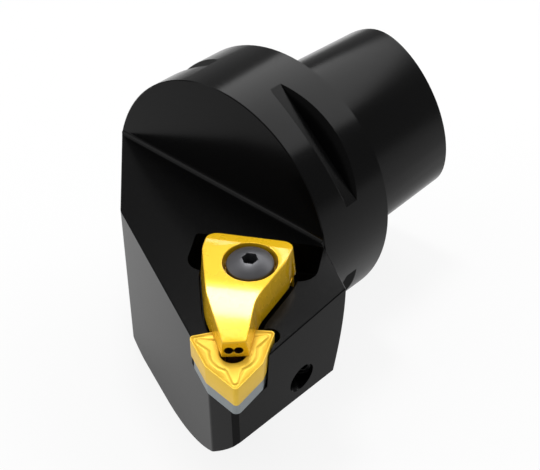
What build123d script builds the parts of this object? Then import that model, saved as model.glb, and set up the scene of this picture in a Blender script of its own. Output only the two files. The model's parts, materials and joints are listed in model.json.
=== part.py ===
from build123d import *
import math
import os

# Turning tool holder, right hand, with a three-lobed taper shank.
# Millimetres.  The shank axis is Y, the shank points to +Y and the head to -Y.
# The origin is the centre of the flange face that meets the spindle.

# ---- shank and flange
FLANGE_D = 63.0
FLANGE_LEN = 22.0
FRONT_BREAK = 0.2         # broken edge of the flange's front rim and of the head's top
BACK_CHAMFER = 0.3
ROOT_DEPTH = 0.6          # ground relief round the foot of the shank
ROOT_R = 24.2
SHANK_D = 44.0            # mean width of the lobed section at the flange face
SHANK_LEN = 38.0
SHANK_TAPER = 1 / 20
LOBE_E = 1.4              # how far the lobes stand out of a circle
LOBE_TURN = 30.0          # one lobe points straight up
SLOT_MIDDLE = 11.5        # gripper slots, measured from the flange face
SLOT_FLOOR_W = 3.45
SLOT_FLOOR_R = 27.83
SLOT_WALL_ANGLE = 30.0
SLOT_HIGH = 6.0
BORE_D = 28.0
BORE_DEPTH = 18.0
GROOVE_D = 31.6
GROOVE_W = 6.0
THREAD_WALL_R = 8.9       # crest radius of the M20 x 2 drawbar thread
THREAD_END = 4.0

# ---- head
TIP = Vector(45.0, -65.0, 0.0)
LEFT_BACK = (-34.0, -17.8)    # the left face of the head lies across the corner of the flange
LEFT_FRONT = (-10.0, -41.8)
FRONT_RIGHT = (35.76, -63.16)
SIDE_FRONT_Y = -63.82
HEAD_CORNER_R = 3.0
HEAD_ROOT_R = 1.1         # fillet between the head's top and the flange
RAKE_ANGLE = 6.0          # the insert leans down to both cutting directions
TOP_HEIGHT = 9.75         # top plane of the head: z = TOP_HEIGHT + slopes
TOP_SLOPE_X = -0.08
TOP_SLOPE_Y = 0.105
CORE_R = 30.5
BELLY_R = 45.0            # underside of the wing
BELLY_CENTRE = (10.0, 14.7)
SIDE_X = 43.3
WING_APEX = (16.3, -13.8, 5.0)
WING_BACK_SLOPE = 0.594

# ---- insert and shim
INSCRIBED_R = 6.35
INSERT_T = 4.76
INSERT_HOLE_R = 2.58
NOSE_R = 0.8
SHIM_T = 3.18
SHIM_INSET = 0.25
TIP_TURN = -74.85         # direction of the cutting tip in the rake plane

# ---- clamp
CLAMP_TOP = 6.0
CLAMP_BASE = -1.2
HEEL_FOOT = -7.4
CLAMP_RIGHT = 7.1         # the right flank stands square in front of the heel
HEEL_FRONT = 24.0
CLAMP_DRAFT = 5.0
SEAT_FLOOR = -2.6
SCREW_AT = (-0.6, 19.3)   # across and back, in the rake plane
SCREW_CLEAR_R = 2.7
HEAD_R = 4.85
HEAD_BASE = 2.4
HEAD_RIM = 5.6
HEAD_TOP = 7.0
SPRING_FLOOR = -7.0
SPRING_R = 3.3            # middle of the wire
SPRING_WIRE_R = 0.35
SPRING_TURNS = 2
SEAL_AT = (-1.2, 11.5)
SEAL_BOSS_R = 3.0
SEAL_SEAT_FLOOR = -3.55
SLOT_FLOOR = -9.4

# ---- coolant channel with its plug
CHANNEL_MOUTH = Vector(43.3, -44.1, -11.2)
CHANNEL_R = 2.1
CHANNEL_MOUTH_R = 2.45
PLUG_DEPTH = 3.2

# The rake plane: x runs across to the right, y runs back, z points out of the rake face.
SLOPE = math.tan(math.radians(RAKE_ANGLE))
RAKE_OUT = Vector(SLOPE, -SLOPE, 1).normalized()
TO_CENTRE = 9.87 / math.sqrt(2 + 4 * SLOPE * SLOPE)
INSERT_CENTRE = TIP + Vector(-1, 1, 2 * SLOPE) * TO_CENTRE
ACROSS = Vector(0.8654, 0.4996, -0.0384)
RAKE = Plane(origin=INSERT_CENTRE, x_dir=ACROSS, z_dir=RAKE_OUT)


def rake_at(w):
    """The rake plane moved out by w."""
    return RAKE.offset(w)


def hexagon(across_flats):
    return RegularPolygon(across_flats / 2, 6, major_radius=False)


# ---------------------------------------------------------------- holder body
def lobed_section(y, shrink=0.0):
    """Section of the shank at station y, optionally pulled in all round."""
    mean_r = (SHANK_D - SHANK_TAPER * y) / 2 - shrink
    turn = math.radians(LOBE_TURN)
    points = []
    for i in range(36):
        a = math.tau * i / 36
        u = mean_r * math.cos(a) - 2 * LOBE_E * math.cos(2 * a) + LOBE_E * math.cos(4 * a)
        v = mean_r * math.sin(a) + 2 * LOBE_E * math.sin(2 * a) + LOBE_E * math.sin(4 * a)
        x = u * math.cos(turn) - v * math.sin(turn)
        z = u * math.sin(turn) + v * math.cos(turn)
        points.append(Vector(x, y, z))
    return Face(Wire([Edge.make_spline(points, periodic=True)]))


def along_y(radius, y0, y1):
    """A plain round bar on the shank axis from y0 to y1."""
    return Pos(0, (y0 + y1) / 2, 0) * Rot(-90, 0, 0) * Cylinder(radius, abs(y1 - y0))


def shank():
    taper = loft([lobed_section(-1.0), lobed_section(SHANK_LEN - 1.0)], ruled=True)
    rim = loft([lobed_section(SHANK_LEN - 1.0), lobed_section(SHANK_LEN, 1.0)], ruled=True)
    return taper + rim


def gripper_slot():
    """One tapered slot across the top of the flange rim."""
    half_floor = SLOT_FLOOR_W / 2
    half_open = half_floor + SLOT_HIGH * math.tan(math.radians(SLOT_WALL_ANGLE))
    with BuildSketch(Plane.YZ) as section:
        with BuildLine():
            Polyline(
                (-SLOT_MIDDLE - half_floor, SLOT_FLOOR_R),
                (-SLOT_MIDDLE + half_floor, SLOT_FLOOR_R),
                (-SLOT_MIDDLE + half_open, SLOT_FLOOR_R + SLOT_HIGH),
                (-SLOT_MIDDLE - half_open, SLOT_FLOOR_R + SLOT_HIGH),
                close=True,
            )
        make_face()
    return extrude(section.sketch, amount=20, both=True)


def flange():
    disc = along_y(FLANGE_D / 2, -FLANGE_LEN, 0)
    disc = chamfer(disc.edges().sort_by(Axis.Y)[0], FRONT_BREAK)
    rims = disc.edges().filter_by(GeomType.CIRCLE)
    disc = chamfer(rims.sort_by(Axis.Y)[-1], BACK_CHAMFER)
    disc -= along_y(ROOT_R, -ROOT_DEPTH, 1)
    for turn in (45, 135, 225, 315):
        disc -= Rot(0, turn - 90, 0) * gripper_slot()
    return disc - beyond_left_face()


def beyond_left_face():
    """Everything outside the left face of the head, which also trims the flange."""
    middle_x = (LEFT_BACK[0] + LEFT_FRONT[0]) / 2
    middle_y = (LEFT_BACK[1] + LEFT_FRONT[1]) / 2
    face = Plane(origin=(middle_x, middle_y, 0), z_dir=(-1, -1, 0))
    return face * Pos(0, 0, 10) * Box(60, 60, 20)


def head_root():
    """Fillet where the head's top runs into the front face of the flange."""
    top = top_plane()
    along = Vector(0, -1, 0).cross(top.z_dir).normalized()
    corner_z = TOP_HEIGHT - TOP_SLOPE_Y * FLANGE_LEN
    section = Plane(origin=(0, -FLANGE_LEN, corner_z), x_dir=(0, -1, 0), z_dir=along)
    fall = math.atan(TOP_SLOPE_Y)
    reach = HEAD_ROOT_R * math.tan(math.radians(45) - fall / 2)
    up = 1 if section.y_dir.Z > 0 else -1
    on_flange = (0, up * reach)
    on_top = (reach * math.cos(fall), -up * reach * math.sin(fall))
    pull = 1 - HEAD_ROOT_R / math.hypot(HEAD_ROOT_R, reach)
    belly = (HEAD_ROOT_R * pull, up * reach * pull)
    arc = ThreePointArc(on_flange, belly, on_top)
    rest = Polyline(on_top, (on_top[0], -up), (-0.5, -up), (-0.5, up * reach), on_flange)
    bar = extrude(section * make_face([arc, rest]), amount=34, both=True)
    return (bar & along_y(FLANGE_D / 2 - FRONT_BREAK, -25, -21)) - beyond_left_face()


def top_plane():
    out = Vector(-TOP_SLOPE_X, -TOP_SLOPE_Y, 1)
    return Plane(origin=(0, 0, TOP_HEIGHT), x_dir=Vector(1, 0, TOP_SLOPE_X), z_dir=out)


def head_plan():
    """Outline of the head seen from above, as a tall block."""
    side_front = (SIDE_X, SIDE_FRONT_Y)
    side_back = (SIDE_X, -18)
    outline = Polyline(LEFT_BACK, LEFT_FRONT, FRONT_RIGHT, side_front, side_back, LEFT_BACK)
    face = make_face(outline)
    left = face.vertices().sort_by_distance((*LEFT_FRONT, 0))[0]
    front = face.vertices().sort_by_distance((*FRONT_RIGHT, 0))[0]
    face = fillet([left, front], HEAD_CORNER_R)
    right = face.vertices().sort_by_distance((*side_front, 0))[0]
    face = chamfer(right, 1.1)
    return extrude(Pos(0, 0, -40) * face, amount=60)


def head_section():
    """Outline of the head seen from the front, as a long bar."""
    cx, cz = BELLY_CENTRE
    low = cz - BELLY_R
    edge_z = cz - math.sqrt(BELLY_R**2 - (SIDE_X - cx) ** 2)
    mid_x = cx + BELLY_R * math.sin(math.radians(24))
    mid_z = cz - BELLY_R * math.cos(math.radians(24))
    tangent_x = math.sqrt(CORE_R**2 - low**2)
    with BuildSketch(Plane.XZ) as section:
        with BuildLine():
            Polyline((-28, 16), (SIDE_X, 16), (SIDE_X, edge_z))
            ThreePointArc((SIDE_X, edge_z), (mid_x, mid_z), (cx, low))
            Line((cx, low), (-tangent_x, low))
            ThreePointArc((-tangent_x, low), (-CORE_R * 0.8, -CORE_R * 0.6), (-CORE_R, 0))
            Polyline((-CORE_R, 0), (-CORE_R, 16), (-28, 16))
        make_face()
    return extrude(section.sketch, amount=70)


def head():
    block = head_plan() & head_section()
    cone_len = 60.0
    cone = Cone(cone_len / WING_BACK_SLOPE, 0.01, cone_len)
    cone = Pos(WING_APEX[0], WING_APEX[1] - cone_len / 2, WING_APEX[2]) * Rot(-90, 0, 0) * cone
    core = along_y(CORE_R, -75, -10)
    block = block & (cone + core)
    above = top_plane() * Pos(0, -30, 20) * Box(140, 120, 40)
    block -= above
    top = block.faces().sort_by(Axis.Z)[-1]
    rim = [e for e in top.edges() if e.center().Y < -FLANGE_LEN]
    return chamfer(rim, FRONT_BREAK)


def clamp_outline(grow=0.0, shift=0.0):
    """Outline of the clamp at its top, across and back, in the rake plane."""
    rough = Polyline(
        (2.72, -3.0), (2.62, 9.2), (6.55, 20.6), (7.3, 27.2), (-10.95, 27.2),
        (-11.05, 21.5), (-7.45, 9.5), (-0.65, -3.0), (2.72, -3.0)
    )
    face = make_face(rough)
    soft = {(2.62, 9.2): 10.0, (6.55, 20.6): 10.0, (7.3, 27.2): 2.4, (-10.95, 27.2): 2.4,
            (-11.05, 21.5): 8.0, (-7.45, 9.5): 20.0}
    for (x, y), radius in soft.items():
        corner = face.vertices().sort_by_distance((x, y, 0))[0]
        face = fillet(corner, radius)
    if grow:
        face = offset(face, grow, kind=Kind.INTERSECTION)
    return Pos(shift, 0, 0) * face


def insert_outline(inset=0.0, nose=NOSE_R, blunt=0.3):
    """Trigon outline in the rake plane."""
    sharp = (INSCRIBED_R - inset) / math.sin(math.radians(40))
    flat = (INSCRIBED_R - inset) / math.sin(math.radians(80))
    ring = []
    for k in range(3):
        a = math.radians(TIP_TURN + 120 * k)
        b = a + math.radians(60)
        ring.append((sharp * math.cos(a), sharp * math.sin(a)))
        ring.append((flat * math.cos(b), flat * math.sin(b)))
    face = make_face(Polyline(*ring, ring[0]))
    corners = face.vertices().group_by(lambda v: round(math.hypot(v.X, v.Y), 2))
    face = fillet(corners[-1], nose)
    corners = face.vertices().group_by(lambda v: round(math.hypot(v.X, v.Y), 2))
    for vertex in corners[0] if len(corners[0]) == 3 else []:
        face = fillet(face.vertices().sort_by_distance(vertex)[0], blunt)
    return face


def ring_point(k, radius, angle_offset=0.0):
    a = math.radians(TIP_TURN + 60 * k + angle_offset)
    return Vector(radius * math.cos(a), radius * math.sin(a))


def pocket():
    """Space for shim and insert: two walls behind the insert and a short one on the right."""
    sharp = INSCRIBED_R / math.sin(math.radians(40))
    flat = INSCRIBED_R / math.sin(math.radians(80))
    left = ring_point(4, sharp)
    knee = ring_point(3, flat)
    right = ring_point(2, sharp)
    outer = ring_point(1, flat)
    away = (left - knee).normalized()
    gap = 0.03
    side_gap = 0.3
    back = ring_point(3, gap)
    side = ring_point(2, side_gap, -50)
    points = [
        left + away * 8 + back,
        knee + back,
        right + back + side,
        outer + side,
        outer + (outer - right).normalized() * 8 + side,
        ring_point(0, 40),
        ring_point(5, 40),
        left + away * 8 + back,
    ]
    floor = -(INSERT_T + SHIM_T)
    face = make_face(Polyline(*[(p.X, p.Y) for p in points]))
    space = extrude(rake_at(floor) * face, amount=22)
    relief = rake_at(floor) * Pos(5.75, 6.09, 0) * Cylinder(2.15, 22, align=(Align.CENTER, Align.CENTER, Align.MIN))
    return space + relief


def bore_in(at, radius, w0, w1):
    """A round bar square to the rake plane, from w0 up to w1."""
    bar = Cylinder(radius, w1 - w0, align=(Align.CENTER, Align.CENTER, Align.MIN))
    return rake_at(w0) * Pos(at[0], at[1], 0) * bar


def clamp_seat():
    """Shallow seat around the clamp and the deep slot for its heel."""
    seat = extrude(rake_at(SEAT_FLOOR) * clamp_outline(1.3, 0.33), amount=12)
    slot_face = Pos(-1.7, 28.05, 0) * Rectangle(27.4, 11.1)
    front = slot_face.vertices().group_by(Axis.Y)[0]
    slot_face = fillet(front, 3.75)
    back = slot_face.vertices().group_by(Axis.Y)[-1]
    slot_face = fillet(back, 0.6)
    slot = extrude(rake_at(SLOT_FLOOR) * slot_face, amount=20)
    return seat + slot


def channel_bar(radius, start, length):
    """A round bar along the coolant channel, from its mouth towards the shank axis."""
    inward = (CHANNEL_MOUTH * -1).normalized()
    plane = Plane(origin=CHANNEL_MOUTH + inward * start, z_dir=inward)
    return plane * Cylinder(radius, length, align=(Align.CENTER, Align.CENTER, Align.MIN))


def coolant_way():
    main = channel_bar(CHANNEL_R, 0, 62)
    mouth = channel_bar(CHANNEL_MOUTH_R, -4, 4 + PLUG_DEPTH)
    inward = (CHANNEL_MOUTH * -1).normalized()
    low = CHANNEL_MOUTH + inward * 9
    high = rake_at(SEAL_SEAT_FLOOR + 0.2).from_local_coords(Vector(*SEAL_AT, 0))
    riser_plane = Plane(origin=high, z_dir=low - high)
    length = (low - high).length
    riser = riser_plane * Cylinder(1.2, length, align=(Align.CENTER, Align.CENTER, Align.MIN))
    return main + mouth + riser


def shank_bore():
    bore = along_y(BORE_D / 2, SHANK_LEN - BORE_DEPTH, SHANK_LEN + 1)
    groove_middle = SHANK_LEN - 9.0
    bore += along_y(GROOVE_D / 2, groove_middle - GROOVE_W / 2, groove_middle + GROOVE_W / 2)
    bore += along_y(THREAD_WALL_R, THREAD_END, SHANK_LEN)
    bore += along_y(6.0, THREAD_END - 6.0, THREAD_END)
    lead = Cone(BORE_D / 2 + 1.5, BORE_D / 2, 1.5)
    bore += Pos(0, SHANK_LEN - 0.75, 0) * Rot(90, 0, 0) * lead
    return bore


def holder_body():
    body = flange() + shank() + head() + head_root()
    body -= pocket()
    body -= clamp_seat()
    body -= bore_in(SCREW_AT, 2.5, -22, 0)
    body -= bore_in(SCREW_AT, 4.0, SPRING_FLOOR, 0)
    body -= bore_in(SEAL_AT, 2.8, SEAL_SEAT_FLOOR, 0)
    body -= bore_in((0, 0), 1.65, -18, 0)
    body -= coolant_way()
    body -= shank_bore()
    return body


# ---------------------------------------------------------------- insert, shim
def chip_groove():
    """Sunk ring between the cutting edges and the raised middle of the insert."""
    ring = insert_outline(0.35, 0.5)
    middle = Circle(4.5)
    for k in (0, 2, 4):
        tip = ring_point(k, 8.1)
        wing_a = ring_point(k, 4.45, 25)
        wing_b = ring_point(k, 4.45, -25)
        blade = make_face(Polyline((tip.X, tip.Y), (wing_a.X, wing_a.Y), (wing_b.X, wing_b.Y), (tip.X, tip.Y)))
        middle += blade
    return ring - middle


def cutting_insert():
    plate = extrude(rake_at(-INSERT_T) * insert_outline(), amount=INSERT_T)
    hole = bore_in((0, 0), INSERT_HOLE_R, -INSERT_T - 1, 1)
    plate -= hole
    lip = Cone(INSERT_HOLE_R, INSERT_HOLE_R + 0.4, 0.4, align=(Align.CENTER, Align.CENTER, Align.MIN))
    plate -= rake_at(-0.4) * lip
    plate -= rake_at(-INSERT_T + 0.4) * Rot(180, 0, 0) * lip
    groove = chip_groove()
    plate -= extrude(rake_at(-0.22) * groove, amount=1)
    plate -= extrude(rake_at(-INSERT_T - 1) * groove, amount=1.22)
    return plate


def insert_shim():
    base = -(INSERT_T + SHIM_T)
    plate = extrude(rake_at(base) * insert_outline(SHIM_INSET, 1.2), amount=SHIM_T)
    plate -= bore_in((0, 0), 2.1, base - 1, 0)
    sink = Cone(2.1, 3.9, 1.8, align=(Align.CENTER, Align.CENTER, Align.MIN))
    return plate - rake_at(-INSERT_T - 1.8) * sink


def shim_screw():
    top = -INSERT_T - 0.25
    neck = -INSERT_T - 1.8
    head = Cone(2.0, 3.55, top - neck, align=(Align.CENTER, Align.CENTER, Align.MIN))
    screw = rake_at(neck) * head + bore_in((0, 0), 1.6, -17, neck + 0.01)
    socket = extrude(rake_at(top - 1.5) * hexagon(2.5), amount=3)
    return screw - socket


# ---------------------------------------------------------------- clamp and its small parts
def clamp_profile():
    """Side view of the clamp, back and out of the rake plane, as a wide bar."""
    side = Plane(origin=RAKE.origin, x_dir=RAKE.y_dir, z_dir=RAKE.x_dir)
    face = make_face(Polyline(
        (-4, -10), (-4, 3.4), (11.7, CLAMP_TOP), (24.4, CLAMP_TOP), (28.4, 5.0), (28.4, -10), (-4, -10)
    ))
    bend = face.vertices().sort_by_distance((11.7, CLAMP_TOP, 0))[0]
    face = fillet(bend, 20.0)
    return extrude(side * face, amount=30, both=True)


def clamp():
    arm = extrude(rake_at(CLAMP_TOP) * clamp_outline(), amount=CLAMP_BASE - CLAMP_TOP, taper=-CLAMP_DRAFT)
    heel_face = clamp_outline(0.2) & Pos(-1.9, 25.5, 0) * Rectangle(30, 3.7)
    arm += extrude(rake_at(HEEL_FOOT) * heel_face, amount=8)
    arm = arm & clamp_profile()
    beside = Pos(CLAMP_RIGHT + 5, HEEL_FRONT - 20, 0) * Rectangle(10, 40)
    arm -= extrude(rake_at(-20) * beside, amount=40)
    over_insert = make_face(Polyline((-14, -8), (-14, 1.7), (-1.9, 7.3), (11, 8.2), (11, -8), (-14, -8)))
    arm -= extrude(rake_at(0) * over_insert, amount=-12)
    front = Plane(origin=RAKE.from_local_coords(Vector(-1.86, -1.57, 0)), x_dir=RAKE.z_dir,
                  z_dir=RAKE.x_dir * 0.23 + RAKE.y_dir * -0.973)
    arm -= front * Pos(0, 0, 10) * Box(40, 40, 20)
    arm += bore_in((0, 0.78), 1.72, -2.4, 0.5)
    arm += bore_in(SEAL_AT, SEAL_BOSS_R, SEAT_FLOOR + 0.1, 0)
    arm -= bore_in(SCREW_AT, SCREW_CLEAR_R, -10, 10)
    arm -= bore_in(SCREW_AT, 5.6, HEAD_BASE, 10)
    arm -= bore_in(SEAL_AT, 1.5, -4, 2.4)
    for across in (-0.5, 1.75):
        start = RAKE.from_local_coords(Vector(across, -3, 1.6))
        end = RAKE.from_local_coords(Vector(SEAL_AT[0], SEAL_AT[1], 1.45))
        jet = Plane(origin=start, x_dir=RAKE.z_dir, z_dir=end - start)
        arm -= jet * Cylinder(0.85, 14, align=(Align.CENTER, Align.CENTER, Align.MIN))
    return arm


def clamp_screw():
    shaft = bore_in(SCREW_AT, 2.35, -19, HEAD_BASE)
    collar = bore_in(SCREW_AT, HEAD_R, HEAD_BASE, HEAD_RIM)
    rise = HEAD_TOP - HEAD_RIM
    ball_r = (HEAD_R**2 + rise**2) / (2 * rise)
    ball = rake_at(HEAD_TOP - ball_r) * Pos(*SCREW_AT, 0) * Sphere(ball_r)
    dome = bore_in(SCREW_AT, HEAD_R, HEAD_RIM, HEAD_TOP + 1) & ball
    socket = extrude(rake_at(HEAD_TOP - 3.6) * Pos(*SCREW_AT, 0) * hexagon(3.0), amount=5)
    return shaft + collar + dome - socket


def clamp_spring():
    """Coil of square wire, at its shortest, between the floor of its hole and the clamp."""
    side = 2 * SPRING_WIRE_R
    low = SPRING_FLOOR + SPRING_WIRE_R + 0.02
    high = CLAMP_BASE - SPRING_WIRE_R - 0.02
    path = Helix(pitch=(high - low) / SPRING_TURNS, height=high - low, radius=SPRING_R)
    start = Plane(origin=path @ 0, x_dir=(1, 0, 0), z_dir=path % 0)
    coil = sweep(start * Rectangle(side, side), path=path, is_frenet=True)
    return rake_at(low) * Pos(*SCREW_AT, 0) * coil


def coolant_seal():
    """Square ring, squeezed between the body and the clamp."""
    cord = Pos(2.15, 0) * Rectangle(0.8, 1.0)
    ring = revolve(Plane.XZ * cord, Axis.Z)
    return rake_at(SEAL_SEAT_FLOOR + 0.52) * Pos(*SEAL_AT, 0) * ring


def coolant_plug():
    body = channel_bar(CHANNEL_R - 0.02, PLUG_DEPTH, 4.0)
    inward = (CHANNEL_MOUTH * -1).normalized()
    face = Plane(origin=CHANNEL_MOUTH + inward * PLUG_DEPTH, z_dir=inward)
    socket = extrude(face * hexagon(2.5), amount=2.2)
    return body - socket


def main():
    os.makedirs("parts", exist_ok=True)
    pieces = {
        "holder_body": holder_body(),
        "cutting_insert": cutting_insert(),
        "insert_shim": insert_shim(),
        "shim_screw": shim_screw(),
        "clamp": clamp(),
        "clamp_screw": clamp_screw(),
        "clamp_spring": clamp_spring(),
        "coolant_seal": coolant_seal(),
        "coolant_plug": coolant_plug(),
    }
    for name, shape in pieces.items():
        solids = shape.solids()
        box = shape.bounding_box()
        print(f"{name}: {len(solids)} solid, {shape.volume:.1f} mm3, {box.min} to {box.max}")
        export_step(shape, f"parts/{name}.step")


main()
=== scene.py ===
# %% [markdown]
# # A turning tool holder
# The holder is a steel head that carries a small cutting insert. Its lobed taper
# shank goes into a lathe spindle. This notebook dresses the solid model with fine
# shapes, finishes, light and a camera. The solid model already gives each piece its
# size and place, so each step here adds only what solids leave out.

# %% Load the solid model
import json
import math

import bmesh
import bpy
from mathutils import Matrix, Vector

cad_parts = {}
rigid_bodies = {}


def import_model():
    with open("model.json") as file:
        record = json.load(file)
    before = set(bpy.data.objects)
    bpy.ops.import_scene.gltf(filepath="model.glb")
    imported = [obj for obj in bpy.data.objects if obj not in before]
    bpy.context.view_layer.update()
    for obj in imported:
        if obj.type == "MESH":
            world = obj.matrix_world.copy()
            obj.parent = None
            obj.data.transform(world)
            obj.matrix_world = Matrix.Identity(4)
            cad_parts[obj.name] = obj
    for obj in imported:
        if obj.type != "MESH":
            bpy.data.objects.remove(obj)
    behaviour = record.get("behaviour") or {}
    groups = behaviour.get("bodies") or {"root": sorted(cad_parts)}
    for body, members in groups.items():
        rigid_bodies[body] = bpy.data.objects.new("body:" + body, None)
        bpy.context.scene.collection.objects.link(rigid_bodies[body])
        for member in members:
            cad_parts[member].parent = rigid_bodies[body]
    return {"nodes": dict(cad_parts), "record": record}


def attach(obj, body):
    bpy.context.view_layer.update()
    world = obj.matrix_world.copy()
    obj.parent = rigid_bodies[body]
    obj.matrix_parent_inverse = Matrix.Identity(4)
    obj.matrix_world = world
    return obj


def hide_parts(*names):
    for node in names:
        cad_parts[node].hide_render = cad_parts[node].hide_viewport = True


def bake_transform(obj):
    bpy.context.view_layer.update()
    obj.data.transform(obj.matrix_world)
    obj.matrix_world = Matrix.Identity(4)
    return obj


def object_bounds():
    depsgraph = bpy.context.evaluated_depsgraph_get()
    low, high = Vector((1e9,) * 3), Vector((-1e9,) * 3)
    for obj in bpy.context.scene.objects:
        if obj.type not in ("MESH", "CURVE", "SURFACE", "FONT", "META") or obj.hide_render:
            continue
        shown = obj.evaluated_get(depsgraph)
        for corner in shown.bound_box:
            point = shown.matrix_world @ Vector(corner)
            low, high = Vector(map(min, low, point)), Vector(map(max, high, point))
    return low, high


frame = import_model()
solid_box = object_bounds()
scene = bpy.context.scene
mm = 0.001
print("solid box in mm:", [[round(x / mm, 1) for x in corner] for corner in solid_box])

# %% [markdown]
# The insert sits in a pocket that leans 6 degrees forward and 6 degrees sideways, and
# the clamp and its screw lean with it. Their shapes could be written in the room's own
# directions, with a sine in every line. It is easier to draw them level in a plane of
# their own. One matrix then turns "across, back, out of the rake face" in millimetres
# into room positions in metres.

# %% The rake plane
rake_angle = 6
slope = math.tan(math.radians(rake_angle))
rake_out = Vector((slope, -slope, 1)).normalized()
across = Vector((0.8654, 0.4996, -0.0384)).normalized()
backward = rake_out.cross(across)
insert_centre = Vector((38.095, -58.095, 1.451)) * mm
rake_turn = Matrix((across, backward, rake_out)).transposed().to_4x4()
rake = Matrix.Translation(insert_centre) @ rake_turn @ Matrix.Scale(mm, 4)


def rake_at(x, y, z, turn=0.0):
    """The rake plane moved to a point and turned about its own upright, in degrees."""
    return rake @ Matrix.Translation((x, y, z)) @ Matrix.Rotation(math.radians(turn), 4, "Z")


print("rake plane leans", round(math.degrees(math.acos(rake_out.z)), 2), "degrees from level")

# %% [markdown]
# ## Finishes
# Real finishes are never one even colour. Each one here starts from noise on the
# piece's own coordinates, which drives small changes of shade and of gloss. Image
# textures could do the same, but noise needs no files and has no seams.

# %% Noise on a piece
def object_noise(tree, scale, stretch):
    """Noise on the piece's own coordinates."""
    place = tree.nodes.new("ShaderNodeTexCoord")
    turn = tree.nodes.new("ShaderNodeMapping")
    turn.inputs["Scale"].default_value = stretch
    noise = tree.nodes.new("ShaderNodeTexNoise")
    noise.inputs["Scale"].default_value = scale
    noise.inputs["Detail"].default_value = 3.0
    tree.links.new(place.outputs["Object"], turn.inputs["Vector"])
    tree.links.new(turn.outputs["Vector"], noise.inputs["Vector"])
    return noise


noise_low = 0.3
noise_high = 0.7
print("most of the noise lies between", noise_low, "and", noise_high)

# %% [markdown]
# Noise is only a grey value. A Map Range node turns it into an amount of gloss, and a
# Color Ramp into a shade between two close colours. A Mix node could blend the colours
# too. The ramp is chosen because its two stops also cut off the noise's rare extremes.

# %% From noise to gloss and colour
def spread(tree, noise, low, high):
    """Turns noise into a value between low and high."""
    ramp = tree.nodes.new("ShaderNodeMapRange")
    ramp.inputs["From Min"].default_value = noise_low
    ramp.inputs["From Max"].default_value = noise_high
    ramp.inputs["To Min"].default_value = low
    ramp.inputs["To Max"].default_value = high
    tree.links.new(noise.outputs["Fac"], ramp.inputs["Value"])
    return ramp.outputs["Result"]


def tint(tree, noise, dark, light):
    """Turns noise into a colour between two close shades."""
    ramp = tree.nodes.new("ShaderNodeValToRGB")
    stops = ramp.color_ramp.elements
    for stop, position, colour in zip(stops, (noise_low, noise_high), (dark, light)):
        stop.position = position
        stop.color = (*colour, 1)
    tree.links.new(noise.outputs["Fac"], ramp.inputs["Fac"])
    return ramp.outputs["Color"]


def new_finish(name):
    finish = bpy.data.materials.new(name)
    finish.use_nodes = True
    return finish, finish.node_tree, finish.node_tree.nodes["Principled BSDF"]


def surface(name, dark, light, roughness, metallic=1.0, grain=900.0, stretch=(1, 1, 1)):
    """A finish and its shader: two close shades, and the least and the most roughness."""
    finish, tree, shader = new_finish(name)
    shader.inputs["Metallic"].default_value = metallic
    fine = object_noise(tree, grain, stretch)
    tree.links.new(tint(tree, fine, dark, light), shader.inputs["Base Color"])
    tree.links.new(spread(tree, fine, *roughness), shader.inputs["Roughness"])
    return finish, shader


# %% [markdown]
# The body is hardened steel with a black oxide skin. It could be a metal with a black
# colour, but that would mirror the studio too strongly. So it isn't metallic at all: it
# is a deep black that reflects only a little, with a specular level far below that of
# paint, and smooth enough to draw clear bands of light.

# %% Black oxide
black_oxide, oxide_shader = surface(
    "black_oxide",
    dark=(0.0020, 0.0020, 0.0021),
    light=(0.0030, 0.0030, 0.0031),
    roughness=(0.17, 0.21),
    metallic=0.0,
    grain=2500.0,
)
oxide_shader.inputs["Specular IOR Level"].default_value = 0.11
print("specular level of the body:", round(oxide_shader.inputs["Specular IOR Level"].default_value, 3))

# %% [markdown]
# Clamp and insert are coated with a gold-coloured nitride. A pure metal would be black
# wherever it mirrors the black body, and a pure paint would look like plastic. So each
# coating is a little metallic and keeps a colour of its own. The clamp is polished,
# which a thin clear coat imitates, and the insert stays satin. A third finish, a dark
# brown, is painted shade: it darkens the clamp's narrow jets and the peg under its nose.

# %% Gold coatings
clamp_gold, clamp_shader = surface(
    "clamp_gold",
    dark=(0.98, 0.585, 0.0110),
    light=(0.99, 0.593, 0.0115),
    roughness=(0.27, 0.28),
    metallic=0.15,
    grain=350.0,
)
clamp_shader.inputs["Specular Tint"].default_value = (1.0, 0.65, 0.10, 1)
clamp_shader.inputs["Coat Weight"].default_value = 0.9
clamp_shader.inputs["Coat Roughness"].default_value = 0.13
insert_gold, insert_shader = surface(
    "insert_gold",
    dark=(0.93, 0.60, 0.060),
    light=(0.95, 0.615, 0.064),
    roughness=(0.33, 0.35),
    metallic=0.15,
    grain=600.0,
)
insert_shader.inputs["Specular Tint"].default_value = (1.0, 0.75, 0.25, 1)
# This dark finish is painted shade for the insides of the clamp's jets and its peg.
bore_shade_finish, _ = surface(
    "painted_bore_shade",
    dark=(0.030, 0.012, 0.004),
    light=(0.040, 0.016, 0.005),
    roughness=(0.45, 0.55),
    metallic=0.3,
)
print("coatings:", clamp_gold.name, insert_gold.name, bore_shade_finish.name)

# %% [markdown]
# The small parts are plain: ground carbide, oiled screw steel, bright spring wire,
# rubber and the dark steel of the plug. Each could have a tree of its own. They share
# one recipe with other shades and grain, because they are too small to show more. The
# carbide's noise is squeezed one way, which leaves the fine stripes of grinding.

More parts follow.
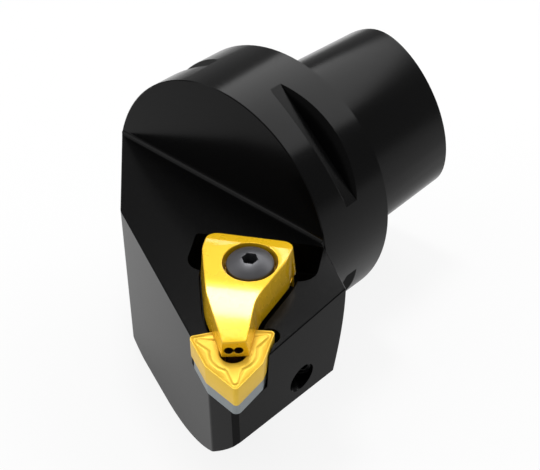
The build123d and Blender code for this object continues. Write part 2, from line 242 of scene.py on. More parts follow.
# %% Small parts' finishes
ground_carbide, _ = surface(
    "ground_carbide",
    dark=(0.26, 0.29, 0.30),
    light=(0.28, 0.31, 0.32),
    roughness=(0.40, 0.44),
    metallic=0.5,
    grain=2000.0,
    stretch=(1, 1, 6),
)
dark_screw, _ = surface(
    "dark_screw",
    dark=(0.085, 0.085, 0.092),
    light=(0.09, 0.09, 0.098),
    roughness=(0.40, 0.43),
    metallic=0.5,
)
spring_steel, _ = surface(
    "spring_steel", dark=(0.30, 0.30, 0.31), light=(0.36, 0.36, 0.37), roughness=(0.28, 0.36)
)
seal_rubber, _ = surface(
    "seal_rubber", dark=(0.02, 0.02, 0.02), light=(0.03, 0.03, 0.03), roughness=(0.6, 0.7), metallic=0.0
)
plug_steel, _ = surface(
    "plug_steel", dark=(0.05, 0.05, 0.05), light=(0.06, 0.06, 0.06), roughness=(0.32, 0.40)
)
print("small parts:", [m.name for m in (ground_carbide, dark_screw, spring_steel, seal_rubber, plug_steel)])

# %% [markdown]
# Each piece of the solid model belongs to a material slot. Slots could be filled one
# piece at a time by hand. A table from slot to finish is safer: a piece that has no
# finish stops the script at once.

# %% Finishes for the solids
finishes = {
    "body_steel": black_oxide,
    "insert_coating": insert_gold,
    "clamp_coating": clamp_gold,
    "shim_carbide": ground_carbide,
    "screw_steel": dark_screw,
    "spring_steel": spring_steel,
    "seal_rubber": seal_rubber,
    "plug_steel": plug_steel,
}
slot_of = {s["node"]: s["material_slot"] for s in frame["record"]["subparts"]}
for name, node in frame["nodes"].items():
    node.data.materials.clear()
    node.data.materials.append(finishes[slot_of[name]])
print(len(frame["nodes"]), "solids wear", len(finishes), "finishes")

# %% [markdown]
# ## Soft edges
# A machined part never has a perfectly sharp edge: it is broken by a file, a brush
# or the coating, and that narrow rounding catches the light. The solid model keeps
# its edges sharp to stay simple, so the holder, the clamp and the small parts are shown
# by softened copies. A few helpers come first. They mark sharp edges, give a mesh its
# object, and bake an object's modifiers into a plain mesh.

# %% Helpers for finished pieces
def shade(mesh, sharp=30.0):
    """Smooth shading that stops at edges sharper than the given angle in degrees."""
    mesh.shade_smooth()
    mesh.set_sharp_from_angle(angle=math.radians(sharp))


def finished_object(name, mesh, slot, body):
    """An object at the origin that wears a slot's finish and moves with a body."""
    mesh.name = name
    if not mesh.materials:
        mesh.materials.append(finishes[slot])
    piece = bpy.data.objects.new(name, mesh)
    scene.collection.objects.link(piece)
    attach(piece, body)
    return piece


def new_maker(name, mesh):
    """A passing object that carries modifiers until its mesh is baked."""
    maker = bpy.data.objects.new(name, mesh)
    scene.collection.objects.link(maker)
    return maker


def plain_mesh(maker):
    """The mesh that an object's modifiers make; the object itself is removed."""
    bpy.context.view_layer.update()
    seen = maker.evaluated_get(bpy.context.evaluated_depsgraph_get())
    mesh = bpy.data.meshes.new_from_object(seen)
    bpy.data.objects.remove(maker)
    return mesh


# %% [markdown]
# Smooth shading alone lets the light of a bevel bleed far into the flat face beside it,
# as if the face were bent. Sharp marks beside each bevel could stop that, one by one. The
# Weighted Normal modifier does it for the whole piece: the largest face at each point
# decides how the point is shaded, so only the bevel looks round.

# %% Flat faces stay flat
def even_normals(mesh, sharp=20.0):
    """Smooth shading in which the large flat faces stay flat up to their bevels."""
    shade(mesh, sharp)
    maker = new_maker(mesh.name, mesh)
    weigh = maker.modifiers.new("flat faces first", "WEIGHTED_NORMAL")
    weigh.keep_sharp = True
    weigh.mode = "FACE_AREA"
    weigh.weight = 100
    return plain_mesh(maker)


# %% [markdown]
# A copy of a solid is loose triangles. It is first merged, and the triangles of flat
# faces are joined again, so that a bevel can run along whole edges. Then each steep
# edge gets a bevel weight. An angle limit on the modifier would do nearly the same, but
# weighted edges can be counted, and open ones are left out. The facets of round faces
# meet at small angles and stay as they are.

# %% Bevelled copies
merge_gap = 2e-6
flat_angle = math.radians(0.6)
steep_angle = math.radians(50)


def merged_copy(node):
    """The solid's triangles as one closed mesh with whole flat faces."""
    work = bmesh.new()
    work.from_mesh(frame["nodes"][node].data)
    bmesh.ops.remove_doubles(work, verts=work.verts, dist=merge_gap)
    bmesh.ops.dissolve_limit(work, angle_limit=flat_angle, verts=work.verts, edges=work.edges)
    return work


def weigh_steep_edges(work):
    weight = work.edges.layers.float.new("bevel_weight_edge")
    steep = [e for e in work.edges if e.is_manifold and e.calc_face_angle() > steep_angle]
    for edge in steep:
        edge[weight] = 1
    return len(steep)


def bevelled_copy(node, name, width, body, segments=2, reshape=None):
    """Shows a solid by a copy whose steep edges are rounded; reshape may bend it first."""
    work = merged_copy(node)
    if reshape:
        reshape(work)
    softened = weigh_steep_edges(work)
    mesh = bpy.data.meshes.new(name)
    work.to_mesh(mesh)
    work.free()
    mesh.materials.append(finishes[slot_of[node]])
    mesh.shade_smooth()
    maker = new_maker(name, mesh)
    bevel = maker.modifiers.new("broken edges", "BEVEL")
    bevel.limit_method = "WEIGHT"
    bevel.width = width
    bevel.segments = segments
    bevel.use_clamp_overlap = False
    mesh = even_normals(plain_mesh(maker))
    piece = finished_object(name, mesh, slot_of[node], body)
    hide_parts(node)
    print(name, "has", softened, "softened edges and", len(mesh.polygons), "faces")
    return piece


# %% [markdown]
# The holder is one piece of steel, and its edges are broken by hand after grinding. The
# shim is ground carbide with a fine brushed edge. The screw under the insert and the
# plug in the side are so small that their edges are barely touched. One bevel width
# for all would be quicker, but it would make the small parts look melted.

# %% Holder, shim and the two hidden fixings
bevelled_copy("holder_body", "holder", 0.12 * mm, "body")
bevelled_copy("insert_shim", "shim", 0.10 * mm, "body")
bevelled_copy("shim_screw", "shim_fixing", 0.06 * mm, "body")
bevelled_copy("coolant_plug", "plug", 0.08 * mm, "body")

# %% [markdown]
# ## The clamp
# The clamp's back is forged: it falls from the flat round the screw to the nose in
# one easy curve, which draws a soft band of light. The solid has a flat slope there.
# A new mesh could be modelled over it, but the clamp's outline would have to be made
# twice. So the top of the copy is cut across every millimetre, and its points are set
# on the curve before the edges are softened.

# %% The line of the clamp's back
flat_top = 6.0
curve_start = 13.5
curve_end = 4.05
curve_r = 45.4
curve_run = curve_start - curve_end
end_slope = curve_run / math.sqrt(curve_r**2 - curve_run**2)


def height_on_curve(run):
    """Height of the curve at a distance in front of its start."""
    return flat_top - curve_r + math.sqrt(curve_r**2 - run**2)


def back_height(y):
    """Height of the clamp's back above the rake plane at a distance from the insert."""
    if y > curve_start:
        return flat_top
    if y > curve_end:
        return height_on_curve(curve_start - y)
    return height_on_curve(curve_run) - (curve_end - y) * end_slope


print("the back ends", round(math.degrees(math.atan(end_slope)), 1), "degrees down")

# %% The clamp with its curved back
to_rake = rake.inverted()
nose_cut = -1
last_cut = 14
behind_curve = 18
least_upward = 0.97
above_flanks = 3


def is_top(face):
    middle = to_rake @ face.calc_center_median()
    return face.normal.dot(rake_out) > least_upward and middle.z > above_flanks


def curve_the_back(work):
    """Cuts the clamp's top across every millimetre and sets its points on the curve."""
    for y in range(nose_cut, last_cut + 1):
        faces = [f for f in work.faces if is_top(f)]
        edges = list(dict.fromkeys(e for f in faces for e in f.edges))
        points = list(dict.fromkeys(v for f in faces for v in f.verts))
        cut_at = rake @ Vector((0, y, 0))
        bmesh.ops.bisect_plane(work, geom=faces + edges + points, plane_co=cut_at, plane_no=backward)
    top = [f for f in work.faces if is_top(f)]
    for vertex in dict.fromkeys(v for f in top for v in f.verts):
        spot = to_rake @ vertex.co
        if spot.y < behind_curve:
            vertex.co = rake @ Vector((spot.x, spot.y, back_height(spot.y)))


clamp_arm = bevelled_copy(
    "clamp", "clamp_arm_gold", 0.22 * mm, "clamp_arm", segments=3, reshape=curve_the_back
)

# %% [markdown]
# Two slanted jets carry coolant through the clamp to the insert, and a peg under the
# nose reaches down into the insert's hole. Both lie in shade, and their faces get a dark
# finish that is painted shade. Their faces could be picked and painted by hand. Here a
# face gets the second finish, the painted shade, where all its corners lie near a jet's
# axis or on the peg, so the rule can be read and changed.

# %% Painted shade in the jets and on the peg
coolant_at = (-1.2, 11.5)
jet_starts = (Vector((-0.5, -3, 1.6)), Vector((1.75, -3, 1.6)))
jet_end = Vector((*coolant_at, 1.45))
jet_r = 0.93
jet_mouth = -1.75
peg_back = 0.78
peg_r = 1.85
peg_top = 0.3


def on_peg(spots):
    return all(math.hypot(p.x, p.y - peg_back) < peg_r and p.z < peg_top for p in spots)


def in_jet(spots, start):
    line = (jet_end - start).normalized()
    return all((p - start).cross(line).length < jet_r and p.y > jet_mouth for p in spots)


# The second finish paints shade onto the faces of the jets and the peg.
clamp_arm.data.materials.append(bore_shade_finish)
darkened = 0
for face in clamp_arm.data.polygons:
    spots = [to_rake @ clamp_arm.data.vertices[i].co for i in face.vertices]
    if on_peg(spots) or any(in_jet(spots, start) for start in jet_starts):
        face.material_index = 1
        darkened += 1
print(darkened, "faces of the jets and the peg darkened")

# %% [markdown]
# ## The insert
# The insert is a pressed and ground carbide plate with three cutting corners on
# each side. Its face is the same third, three times over, and the back is the front
# turned over. Sculpting or booleans would be slow and less regular, so half of one
# third of the upper face is laid out in rows, from the hole to the edge: the hole's
# rounded lip, the raised star that the clamp and the chips rest on, the groove that
# curls the chip, and the narrow flat land behind the edge.

# %% Sizes of the insert
insert_r = 6.35
half_thick = 4.76 / 2
nose_r = 0.8
hole_r = 2.58
groove_depth = 0.26
half_corner = 40
half_blunt_corner = 80
half_third = 60
tip_steps = 8
nose_steps = 5
lead_steps = tip_steps - nose_steps
side_steps = 8
bend_steps = 8
ring_steps = 10


def on_circle(radius, degrees, centre=(0.0, 0.0)):
    a = math.radians(degrees)
    return Vector((centre[0] + radius * math.cos(a), centre[1] + radius * math.sin(a)))


def arc_points(centre, radius, start, end, count):
    """Points of an arc without its last one, where the next stretch begins."""
    return [on_circle(radius, start + (end - start) * i / count, centre) for i in range(count)]


def bearing(v):
    """Direction of a vector in degrees."""
    return math.degrees(math.atan2(v.y, v.x))


print("a corner has", 2 * half_corner, "degrees and the blunt corner", 2 * half_blunt_corner)

# %% [markdown]
# The star's edge is a chain of four stretches that run smoothly into each other: the
# arm's round tip, its straight side, a hollow bend, and the ring round the hole. It
# could be a list of points, but then no size of it could be changed. Each stretch is
# worked out from the one before it, and each point gets the direction that leads away
# from the star, so that the groove can follow the edge at an even distance.

# %% Edge of the raised star
def star_edge(ring_r=4.4, tip_at=7.45, tip_r=0.45, foot_half=1.35, foot_at=4.1, blend_r=1.1):
    """Half of one arm of the raised star and its share of the ring, with outward normals."""
    tip = Vector((tip_at, 0))
    tilt = math.atan2(foot_half - tip_r, tip_at - foot_at)
    out = Vector((math.sin(tilt), math.cos(tilt)))
    along = Vector((-math.cos(tilt), math.sin(tilt)))
    start = tip + out * tip_r
    from_blend = start + out * blend_r
    back = from_blend.dot(along)
    reach = -back - math.sqrt(back**2 - from_blend.length_squared + (ring_r + blend_r) ** 2)
    middle = from_blend + along * reach

    points = arc_points(tip, tip_r, 0, bearing(out), tip_steps)
    normals = [(p - tip).normalized() for p in points]
    points += [start + along * reach * i / side_steps for i in range(side_steps)]
    normals += [out] * side_steps
    bend = arc_points(middle, blend_r, bearing(-out), bearing(-middle), bend_steps)
    points += bend
    normals += [(middle - p).normalized() for p in bend]
    ring = arc_points((0, 0), ring_r, bearing(middle), half_third, ring_steps)
    ring.append(on_circle(ring_r, half_third))
    return points + ring, normals + [p.normalized() for p in ring]


star, star_out = star_edge()
columns = len(star)
print("half an arm of the star has", columns, "points")

# %% [markdown]
# The outline of a third is an 80 degree corner with a round nose, and a straight side
# that ends in a blunt corner. To be joined to the star in neat quads, it needs as many
# points as the star has. Spacing them evenly would twist the quads. So each point goes
# where its partner on the star lies along the side.

# %% Outline of the insert
def outline_edge(inset):
    """Half of one corner of the outline, pulled in, with a point for each point of the star."""
    nose_at = (insert_r - nose_r) / math.sin(math.radians(half_corner))
    out = on_circle(1, 90 - half_corner)
    tangent = Vector((nose_at, 0)) + out * (nose_r - inset)
    blunt = on_circle((insert_r - inset) / math.sin(math.radians(half_blunt_corner)), half_third)
    side = (blunt - tangent).normalized()
    length = (blunt - tangent).length
    ahead = [(p - tangent).dot(side) for p in star[tip_steps:]]
    lead = ahead[0]
    stretch = (length - lead) / (ahead[-1] - lead)
    points = arc_points((nose_at, 0), nose_r - inset, 0, 90 - half_corner, nose_steps)
    points += [tangent + side * lead * i / lead_steps for i in range(lead_steps)]
    points += [tangent + side * (lead + (a - lead) * stretch) for a in ahead]
    return points


print("the corner reaches", round(outline_edge(0)[0].x, 2), "mm from the middle")

# %% [markdown]
# Now the rows get their heights. The hole's lip and the land are given as steps down
# from the top. The groove is given in shares of its depth, so that the chip former can
# be made deeper or flatter with one number. A bump map could fake such a groove, but
# the real shape catches light from every side and is kept in the mesh.

# %% Rows from the hole to the edge
hole_lip = ((0.0, half_thick), (0.0, 0.45), (0.07, 0.2), (0.22, 0.05), (0.45, 0.0))
star_wall = ((-0.12, 0.0), (0.0, 0.02), (0.12, 0.35), (0.26, 0.8), (0.40, 1.0))
groove_rise = ((0.35, 0.95), (0.7, 0.7), (1.0, 0.3))
land_inset = 0.34
land_and_edge = ((0.24, 0.0), (0.05, 0.0), (0.015, 0.015), (0.0, 0.06), (0.0, half_thick))


def row_at(points, drop):
    return [(*p, half_thick - drop) for p in points]


rows = []
for out, drop in hole_lip:
    ring = [on_circle(hole_r + out, half_third * i / (columns - 1)) for i in range(columns)]
    rows.append(row_at(ring, drop))
for out, share in star_wall:
    rows.append(row_at([p + n * out for p, n in zip(star, star_out)], groove_depth * share))
wall_foot = [p + n * star_wall[-1][0] for p, n in zip(star, star_out)]
land = outline_edge(land_inset)
for way, share in groove_rise:
    rows.append(row_at([a.lerp(b, way) for a, b in zip(wall_foot, land)], groove_depth * share))
for inset, drop in land_and_edge:
    rows.append(row_at(outline_edge(inset), drop))
print("half of one third has", len(rows), "rows of", columns, "points")

# %% [markdown]
# A third is symmetrical about its corner, so the other half is the mirror image of the
# first. A Mirror modifier could make it. Here both halves come from one loop, which
# writes the mirrored faces in reverse order, so that all of them face outwards.

# %% The third as a mesh
third = bmesh.new()
for mirror in (1, -1):
    grid = [[third.verts.new((x, y * mirror, z)) for x, y, z in row] for row in rows]
    for low, high in zip(grid, grid[1:]):
        for i in range(columns - 1):
            quad = (low[i], high[i], high[i + 1], low[i + 1])
            third.faces.new(quad if mirror == 1 else quad[::-1])
bmesh.ops.remove_doubles(third, verts=third.verts, dist=1e-5)
bmesh.ops.dissolve_degenerate(third, edges=third.edges, dist=1e-6)
third_mesh = bpy.data.meshes.new("insert_third")
third.to_mesh(third_mesh)
third.free()
print("one third has", len(third_mesh.polygons), "faces")

# %% [markdown]
# Geometry Nodes repeat a shape or run it along a path. A tree is often drawn in the
# node editor, and it can as well be written down, which keeps it next to the sizes that
# it uses. Three helpers are enough: one starts a tree with named inputs, one adds a node
# with its links, and one runs the tree and keeps the plain mesh that comes out.

# %% Helpers for Geometry Nodes
def node_group(name, inputs, source=False):
    """A tree with named inputs, (name, socket type) pairs, and with a source mesh if asked."""
    group = bpy.data.node_groups.new(name, "GeometryNodeTree")
    face = group.interface
    if source:
        face.new_socket("Geometry", in_out="INPUT", socket_type="NodeSocketGeometry")
    for label, kind in inputs:
        face.new_socket(label, in_out="INPUT", socket_type=kind)
    face.new_socket("Geometry", in_out="OUTPUT", socket_type="NodeSocketGeometry")
    start = group.nodes.new("NodeGroupInput")
    end = group.nodes.new("NodeGroupOutput")
    return group, start, end


def add(group, kind, links=(), **settings):
    """A node with its settings, and a value or an output socket for each input that is named."""
    node = group.nodes.new(kind)
    for key, value in settings.items():
        setattr(node, key, value)
    for key, source in links:
        if hasattr(source, "is_output"):
            group.links.new(source, node.inputs[key])
        else:
            node.inputs[key].default_value = source
    return node


def run_nodes(name, group, values, mesh=None):
    """Runs a tree on a mesh with the given inputs and returns the plain mesh that it makes."""
    maker = new_maker(name, mesh or bpy.data.meshes.new(name))
    modifier = maker.modifiers.new(name, "NODES")
    modifier.node_group = group
    for item in group.interface.items_tree:
        if item.in_out == "INPUT" and item.name in values:
            modifier[item.identifier] = values[item.name]
    return plain_mesh(maker)


# %% [markdown]
# The insert can be used on both faces and on three corners, six edges in all. The tree
# below turns the third over for the lower face, joins the two, and sets a copy for each
# corner round the hole. An Array modifier with an empty could do the same, but the tree
# keeps the number of corners as an input, and merges the seams in the same go.

# %% The tree that repeats the corners
corners, start, end = node_group(
    "repeat_corners", [("Corners", "NodeSocketInt"), ("Finish", "NodeSocketMaterial")], source=True)
take = start.outputs
under = add(corners, "GeometryNodeTransform", [
    ("Geometry", take["Geometry"]), ("Rotation", (math.pi, 0, 0))])
both = add(corners, "GeometryNodeJoinGeometry")
corners.links.new(take["Geometry"], both.inputs[0])
corners.links.new(under.outputs[0], both.inputs[0])
spots = add(corners, "GeometryNodeMeshLine", [("Count", take["Corners"]), ("Offset", (0, 0, 0))])
number = add(corners, "GeometryNodeInputIndex")
share = add(corners, "ShaderNodeMath", [
    (0, number.outputs[0]), (1, take["Corners"])], operation="DIVIDE")
angle = add(corners, "ShaderNodeMath", [
    (0, share.outputs[0]), (1, math.tau)], operation="MULTIPLY")
turn = add(corners, "ShaderNodeCombineXYZ", [("Z", angle.outputs[0])])
copies = add(corners, "GeometryNodeInstanceOnPoints", [
    ("Points", spots.outputs[0]), ("Instance", both.outputs[0]), ("Rotation", turn.outputs[0])])
real = add(corners, "GeometryNodeRealizeInstances", [("Geometry", copies.outputs[0])])
closed = add(corners, "GeometryNodeMergeByDistance", [
    ("Geometry", real.outputs[0]), ("Distance", 0.001)])
dressed = add(corners, "GeometryNodeSetMaterial", [
    ("Geometry", closed.outputs[0]), ("Material", take["Finish"])])
corners.links.new(dressed.outputs[0], end.inputs[0])
print("the corner tree has", len(corners.nodes), "nodes")

# %% The whole insert
tip_turn = -74.85
insert_mesh = run_nodes("insert", corners, {"Corners": 3, "Finish": insert_gold}, third_mesh)
insert_mesh.transform(rake_at(0, 0, -half_thick, tip_turn))
shade(insert_mesh, sharp=40)
insert = finished_object("trigon_insert", insert_mesh, "insert_coating", "body")
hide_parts("cutting_insert")
print("insert has", len(insert_mesh.polygons), "faces")

# %% [markdown]
# ## The clamp screw and the seal
# Both are turned shapes: a profile swept round an axis. A curve with a Screw modifier
# would do it, but its hexagon socket would need a boolean. Spinning a profile in code
# keeps every ring's height and radius readable, and the hexagon is a ring too, one
# whose radius changes with the angle.

# %% Turned shapes
def hexagon_radius(flats, degrees):
    return flats / 2 / math.cos(math.radians(degrees % 60 - 30))


def turned(name, profile, steps=72, loop=False):
    """Sweeps (radius, height) pairs; a radius may be ("hex", flats), and 0 closes a pole."""
    work = bmesh.new()
    rings = []
    for radius, height in profile:
        if radius == 0:
            rings.append([work.verts.new((0, 0, height))] * steps)
            continue
        ring = []
        for i in range(steps):
            a = 360 * i / steps
            r = hexagon_radius(radius[1], a) if isinstance(radius, tuple) else radius
            ring.append(work.verts.new((*on_circle(r, a), height)))
        rings.append(ring)
    pairs = list(zip(rings, rings[1:])) + ([(rings[-1], rings[0])] if loop else [])
    for low, high in pairs:
        for i in range(steps):
            j = (i + 1) % steps
            corner = [low[i], low[j], high[j], high[i]]
            work.faces.new(list(dict.fromkeys(corner)))
    bmesh.ops.recalc_face_normals(work, faces=work.faces)
    mesh = bpy.data.meshes.new(name)
    work.to_mesh(mesh)
    work.free()
    return mesh


# %% [markdown]
# The screw holds the clamp down. Its head is a low dome with a hexagon socket, and it
# sits in a round recess of the clamp. The solid's facets would show on such a bright
# dome, so the head is turned again with rings close together, and its rim and the edge
# under it are rounded. Its sizes are those of the solid.

# %% Clamp screw
screw_at = (-0.6, 19.3)
head_r = 4.85
head_base = 2.4
head_rim = 5.6
head_top = 7.0
shaft_r = 2.35
screw_end = -19.0
socket = ("hex", 3.0)
socket_mouth_r = 1.6
head_rise = head_top - head_rim
ball_r = (head_r**2 + head_rise**2) / (2 * head_rise)


def dome(radius):
    """Height of the head's dome at a radius."""
    return head_top - ball_r + math.sqrt(ball_r**2 - radius**2)


screw_profile = [(0, 3.1), (socket, 3.4), (socket, dome(socket_mouth_r) - 0.02)]
screw_profile += [(r, dome(r)) for r in (1.9, 2.3, 2.8, 3.3, 3.8, 4.3, 4.6)]
screw_profile += [
    (head_r - 0.1, dome(head_r - 0.1) - 0.01),
    (head_r - 0.02, head_rim - 0.06),
    (head_r, head_rim - 0.16),
    (head_r, head_base + 0.25),
    (head_r - 0.08, head_base + 0.07),
    (head_r - 0.25, head_base),
    (shaft_r + 0.25, head_base),
    (shaft_r, head_base - 0.3),
    (shaft_r, screw_end + 0.6),
    (shaft_r - 0.55, screw_end),
    (0, screw_end),
]
screw_mesh = turned("clamp_screw_mesh", screw_profile)
screw_mesh.transform(rake_at(*screw_at, 0))
shade(screw_mesh)
screw = finished_object("clamp_screw_head", screw_mesh, "screw_steel", "screw")
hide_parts("clamp_screw")
print("screw has", len(screw_mesh.polygons), "faces")

# %% [markdown]
# The seal is a rubber ring that closes the gap where the coolant passes from the body
# into the clamp. A torus would do for a round section. This one is held between the
# walls of its seat and is a little higher than wide, so its oval section is swept like
# the screw's profile, as a closed loop.

# %% Seal ring
seal_r = 2.15
seal_half_width = 0.4
seal_half_height = 0.5
seal_level = -3.03
seal_steps = 16
around = [math.tau * i / seal_steps for i in range(seal_steps)]
seal_profile = [(seal_r + seal_half_width * math.cos(a), seal_half_height * math.sin(a)) for a in around]
seal_mesh = turned("seal_mesh", seal_profile, steps=48, loop=True)
seal_mesh.transform(rake_at(*coolant_at, seal_level))
shade(seal_mesh, sharp=60)
seal = finished_object("seal_ring", seal_mesh, "seal_rubber", "body")
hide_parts("coolant_seal")
print("seal has", len(seal_mesh.polygons), "faces")

# %% [markdown]
# ## Spring and threads
# A coil and a screw thread are the same rule: a section that climbs evenly round an
# axis. One Geometry Nodes tree makes them all from a spiral and a small section, so
# each needs only its own numbers. Cutting real threads with booleans would cost
# thousands of faces for a shape that is mostly hidden.

# %% The climbing tree
climb, start, end = node_group("climb_round", [
    ("Turns", "NodeSocketFloat"), ("Steps", "NodeSocketInt"), ("Radius", "NodeSocketFloat"),
    ("Height", "NodeSocketFloat"), ("Section", "NodeSocketFloat"), ("Sides", "NodeSocketInt"),
    ("Finish", "NodeSocketMaterial")])
take = start.outputs
path = add(climb, "GeometryNodeCurveSpiral", [
    ("Resolution", take["Steps"]), ("Rotations", take["Turns"]), ("Start Radius", take["Radius"]),
    ("End Radius", take["Radius"]), ("Height", take["Height"])])
upright = add(climb, "GeometryNodeSetCurveNormal", [("Curve", path.outputs[0])], mode="Z_UP")
section = add(climb, "GeometryNodeCurvePrimitiveCircle", [
    ("Resolution", take["Sides"]), ("Radius", take["Section"])])
tube = add(climb, "GeometryNodeCurveToMesh", [
    ("Curve", upright.outputs[0]), ("Profile Curve", section.outputs[0]), ("Fill Caps", True)])
whole = add(climb, "GeometryNodeRealizeInstances", [("Geometry", tube.outputs[0])])
dressed = add(climb, "GeometryNodeSetMaterial", [
    ("Geometry", whole.outputs[0]), ("Material", take["Finish"])])
climb.links.new(dressed.outputs[0], end.inputs[0])


def climbing(name, place, slot, sharp=30.0, **sizes):
    """A coil or thread from the tree's own inputs, set on a place."""
    inputs = {key.capitalize(): value for key, value in sizes.items()}
    mesh = run_nodes(name, climb, {"Steps": 32, "Finish": finishes[slot], **inputs})
    mesh.transform(place)
    shade(mesh, sharp)
    print(name, "has", len(mesh.polygons), "faces")
    return mesh


# %% [markdown]
# The spring lifts the clamp off the insert when the screw is undone. It stands on the
# floor of its seat in the body and presses against the underside of the clamp, so its
# lower end belongs to one moving part and its upper end to another. It could ride one
# of them and leave a gap at the other. Here it is one coil from the seat's floor to the
# clamp's underside, kept as an object of its own and attached to neither part.

# %% Spring under the clamp
wire_r = 0.35
wire_play = 0.02
seat_floor = -7.0
clamp_base = -1.2
spring_low = seat_floor + wire_r + wire_play
spring_high = clamp_base - wire_r - wire_play
spring_mesh = climbing(
    "coil", rake_at(*screw_at, spring_low), "spring_steel", sharp=60,
    turns=2.0, radius=3.3, height=spring_high - spring_low, section=wire_r, sides=12)
spring = bpy.data.objects.new("lift_spring", spring_mesh)
scene.collection.objects.link(spring)
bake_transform(spring)
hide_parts("clamp_spring")

# %% [markdown]
# Two threads can be seen: a little of the clamp screw's when the clamp is up, and the
# one at the bottom of the shank's bore, where the drawbar pulls the holder into the
# spindle. A four-sided section is enough, half sunk in the shaft or in the wall, so
# that only its ridge stands out as the thread.

# %% Threads of the clamp screw and of the drawbar bore
screw_pitch = 0.8
screw_turns = 14.5
screw_thread = climbing(
    "screw_thread_mesh", rake_at(*screw_at, -18.2), "screw_steel",
    turns=screw_turns, radius=2.3, height=screw_turns * screw_pitch, section=0.2, sides=4)
finished_object("clamp_screw_thread", screw_thread, "screw_steel", "screw")
bore_pitch = 2.0
bore_turns = 7.0
bore_start = 4.9 * mm
onto_shank_axis = Matrix.Rotation(math.radians(-90), 4, "X")
along_shank = Matrix.Translation((0, bore_start, 0)) @ onto_shank_axis @ Matrix.Scale(mm, 4)
bore_thread = climbing(
    "bore_thread_mesh", along_shank, "body_steel",
    turns=bore_turns, radius=8.95, height=bore_turns * bore_pitch, section=0.55, sides=4)
finished_object("drawbar_thread", bore_thread, "body_steel", "body")

# %% [markdown]
# ## Floor, light and camera
# The holder stands on a pale floor. More light would make the floor white, but it would
# also wash out the holder. So the floor glows a little where the camera looks at it, and
# less where a reflection does. It reads as white, and the soft shadow stays.

# %% Floor
floor_size = 6
floor_gap = 0.0005
glow_for_camera = 0.88
glow_in_reflections = 0.35
bpy.ops.mesh.primitive_plane_add(size=floor_size, location=(0, 0, solid_box[0].z - floor_gap))
floor = bpy.context.object
floor.name = "floor"
floor_finish, floor_tree, floor_shader = new_finish("pale_floor")
floor_shader.inputs["Base Color"].default_value = (0.86, 0.86, 0.86, 1)
floor_shader.inputs["Roughness"].default_value = 0.9
seen_by = add(floor_tree, "ShaderNodeLightPath")
mirrored = add(floor_tree, "ShaderNodeMath", [
    (0, seen_by.outputs["Is Glossy Ray"]), (1, seen_by.outputs["Is Transmission Ray"])], operation="MAXIMUM")
softened = add(floor_tree, "ShaderNodeMath", [
    (0, mirrored.outputs[0]), (1, glow_in_reflections)], operation="MULTIPLY")
direct = add(floor_tree, "ShaderNodeMath", [
    (0, seen_by.outputs["Is Camera Ray"]), (1, glow_for_camera)], operation="MULTIPLY")
amount = add(floor_tree, "ShaderNodeMath", [
    (0, direct.outputs[0]), (1, softened.outputs[0])], operation="MAXIMUM")
glow = add(floor_tree, "ShaderNodeEmission", [("Strength", 1.0)])
blend_glow = add(floor_tree, "ShaderNodeMixShader", [
    ("Fac", amount.outputs[0]), (1, floor_shader.outputs[0]), (2, glow.outputs[0])])
floor_tree.links.new(blend_glow.outputs[0], floor_tree.nodes["Material Output"].inputs["Surface"])
floor.data.materials.append(floor_finish)
print("floor lies", round(-floor.location.z / mm, 1), "mm below the shank's axis")

# %% [markdown]
# Black and polished surfaces show mostly what they reflect. Lamps that only throw light
# on them would leave them flat, so the lamps are placed as panels to be mirrored. A long
# strip behind and above draws the pale bands on the flange, a small bright panel overhead
# whitens the clamp's bend, and two soft ones in front and at the left fill the rest.

# %% Lamps
look_at = Vector((0.02, -0.03, 0.0))


def panel(name, direction, distance, width, height, radiance):
    """A soft panel seen in a direction from the holder, with the radiance of its face."""
    data = bpy.data.lights.new(name, "AREA")
    data.shape = "RECTANGLE"
    data.size = width
    data.size_y = height
    data.energy = radiance * math.pi * width * height
    lamp = bpy.data.objects.new(name, data)
    lamp.location = look_at + Vector(direction).normalized() * distance
    lamp.rotation_mode = "QUATERNION"
    lamp.rotation_quaternion = (look_at - lamp.location).to_track_quat("-Z", "Y")
    scene.collection.objects.link(lamp)
    print(name, "gives", round(data.energy, 2), "W")


panel("back_strip", (-0.04, 0.70, 0.70), distance=0.6, width=0.72, height=0.22, radiance=3.4)
panel("overhead", (-0.27, 0.21, 0.94), distance=0.6, width=0.15, height=0.18, radiance=18)
panel("front_fill", (-0.55, -0.78, 0.42), distance=0.8, width=0.6, height=0.50, radiance=1.4)
panel("left_fill", (-0.62, -0.28, 0.73), distance=0.7, width=0.4, height=0.4, radiance=0.9)

# %% [markdown]
# The room around the studio is a dim even white, which keeps shadows from going black.
# A brighter room would spoil the contrast of the black body. Only where the camera looks
# past the floor does it see a nearly white backdrop, so no horizon shows.

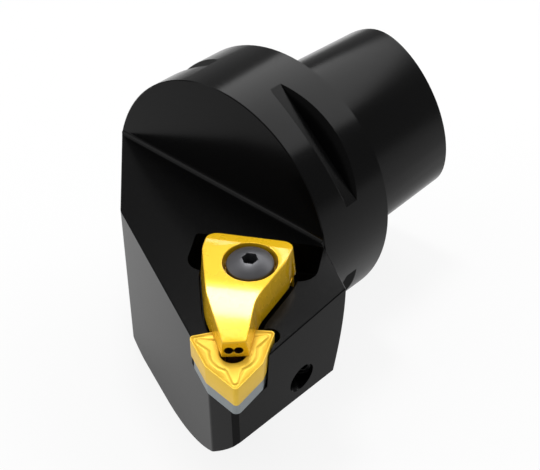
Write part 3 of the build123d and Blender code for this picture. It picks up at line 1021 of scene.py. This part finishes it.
# %% Surroundings
ambient_strength = 0.33
backdrop_strength = 0.97
world = bpy.data.worlds.new("studio")
scene.world = world
world.use_nodes = True
sky = world.node_tree
ambient = sky.nodes["Background"]
ambient.inputs["Color"].default_value = (1, 1, 1, 1)
ambient.inputs["Strength"].default_value = ambient_strength
backdrop = add(sky, "ShaderNodeBackground", [("Color", (1, 1, 1, 1)), ("Strength", backdrop_strength)])
sky_seen = add(sky, "ShaderNodeLightPath")
either = add(sky, "ShaderNodeMixShader", [
    ("Fac", sky_seen.outputs["Is Camera Ray"]), (1, ambient.outputs[0]), (2, backdrop.outputs[0])])
sky.links.new(either.outputs[0], sky.nodes["World Output"].inputs["Surface"])
print("surroundings:", ambient_strength, "and a backdrop of", backdrop_strength)

# %% [markdown]
# The camera looks down on the head from the front right. It could be aimed with a Track
# To constraint, but then it could not be rolled or set a little aside. Its three axes
# are worked out from two angles and a roll, and it stands back along the last of them.

# %% Camera
azimuth, height_angle, roll = (math.radians(a) for a in (42.2836, 33.9937, -1.7508))
aim = Vector((10, -25, 0))
distance, aside, below = 300.684, 6.30468, 0.48426
focal_pixels = 1370.146
picture_width = 540
sensor_width = 36

flat = math.cos(height_angle)
back = Vector((math.sin(azimuth) * flat, -math.cos(azimuth) * flat, math.sin(height_angle)))
level = Vector((math.cos(azimuth), math.sin(azimuth), 0))
up = back.cross(level)
camera_x = math.cos(roll) * level + math.sin(roll) * up
camera_y = -math.sin(roll) * level + math.cos(roll) * up
camera_place = (aim + back * distance + camera_x * aside - camera_y * below) * mm
camera_turn = Matrix((camera_x, camera_y, back)).transposed().to_4x4()

camera_data = bpy.data.cameras.new("camera")
camera_data.sensor_width = sensor_width
camera_data.lens = focal_pixels / picture_width * sensor_width
camera_data.clip_start = 0.01
camera = bpy.data.objects.new("camera", camera_data)
scene.collection.objects.link(camera)
camera.matrix_world = Matrix.Translation(camera_place) @ camera_turn
scene.camera = camera
scene.view_settings.view_transform = "Standard"
print("camera has a", round(camera_data.lens, 1), "mm lens")
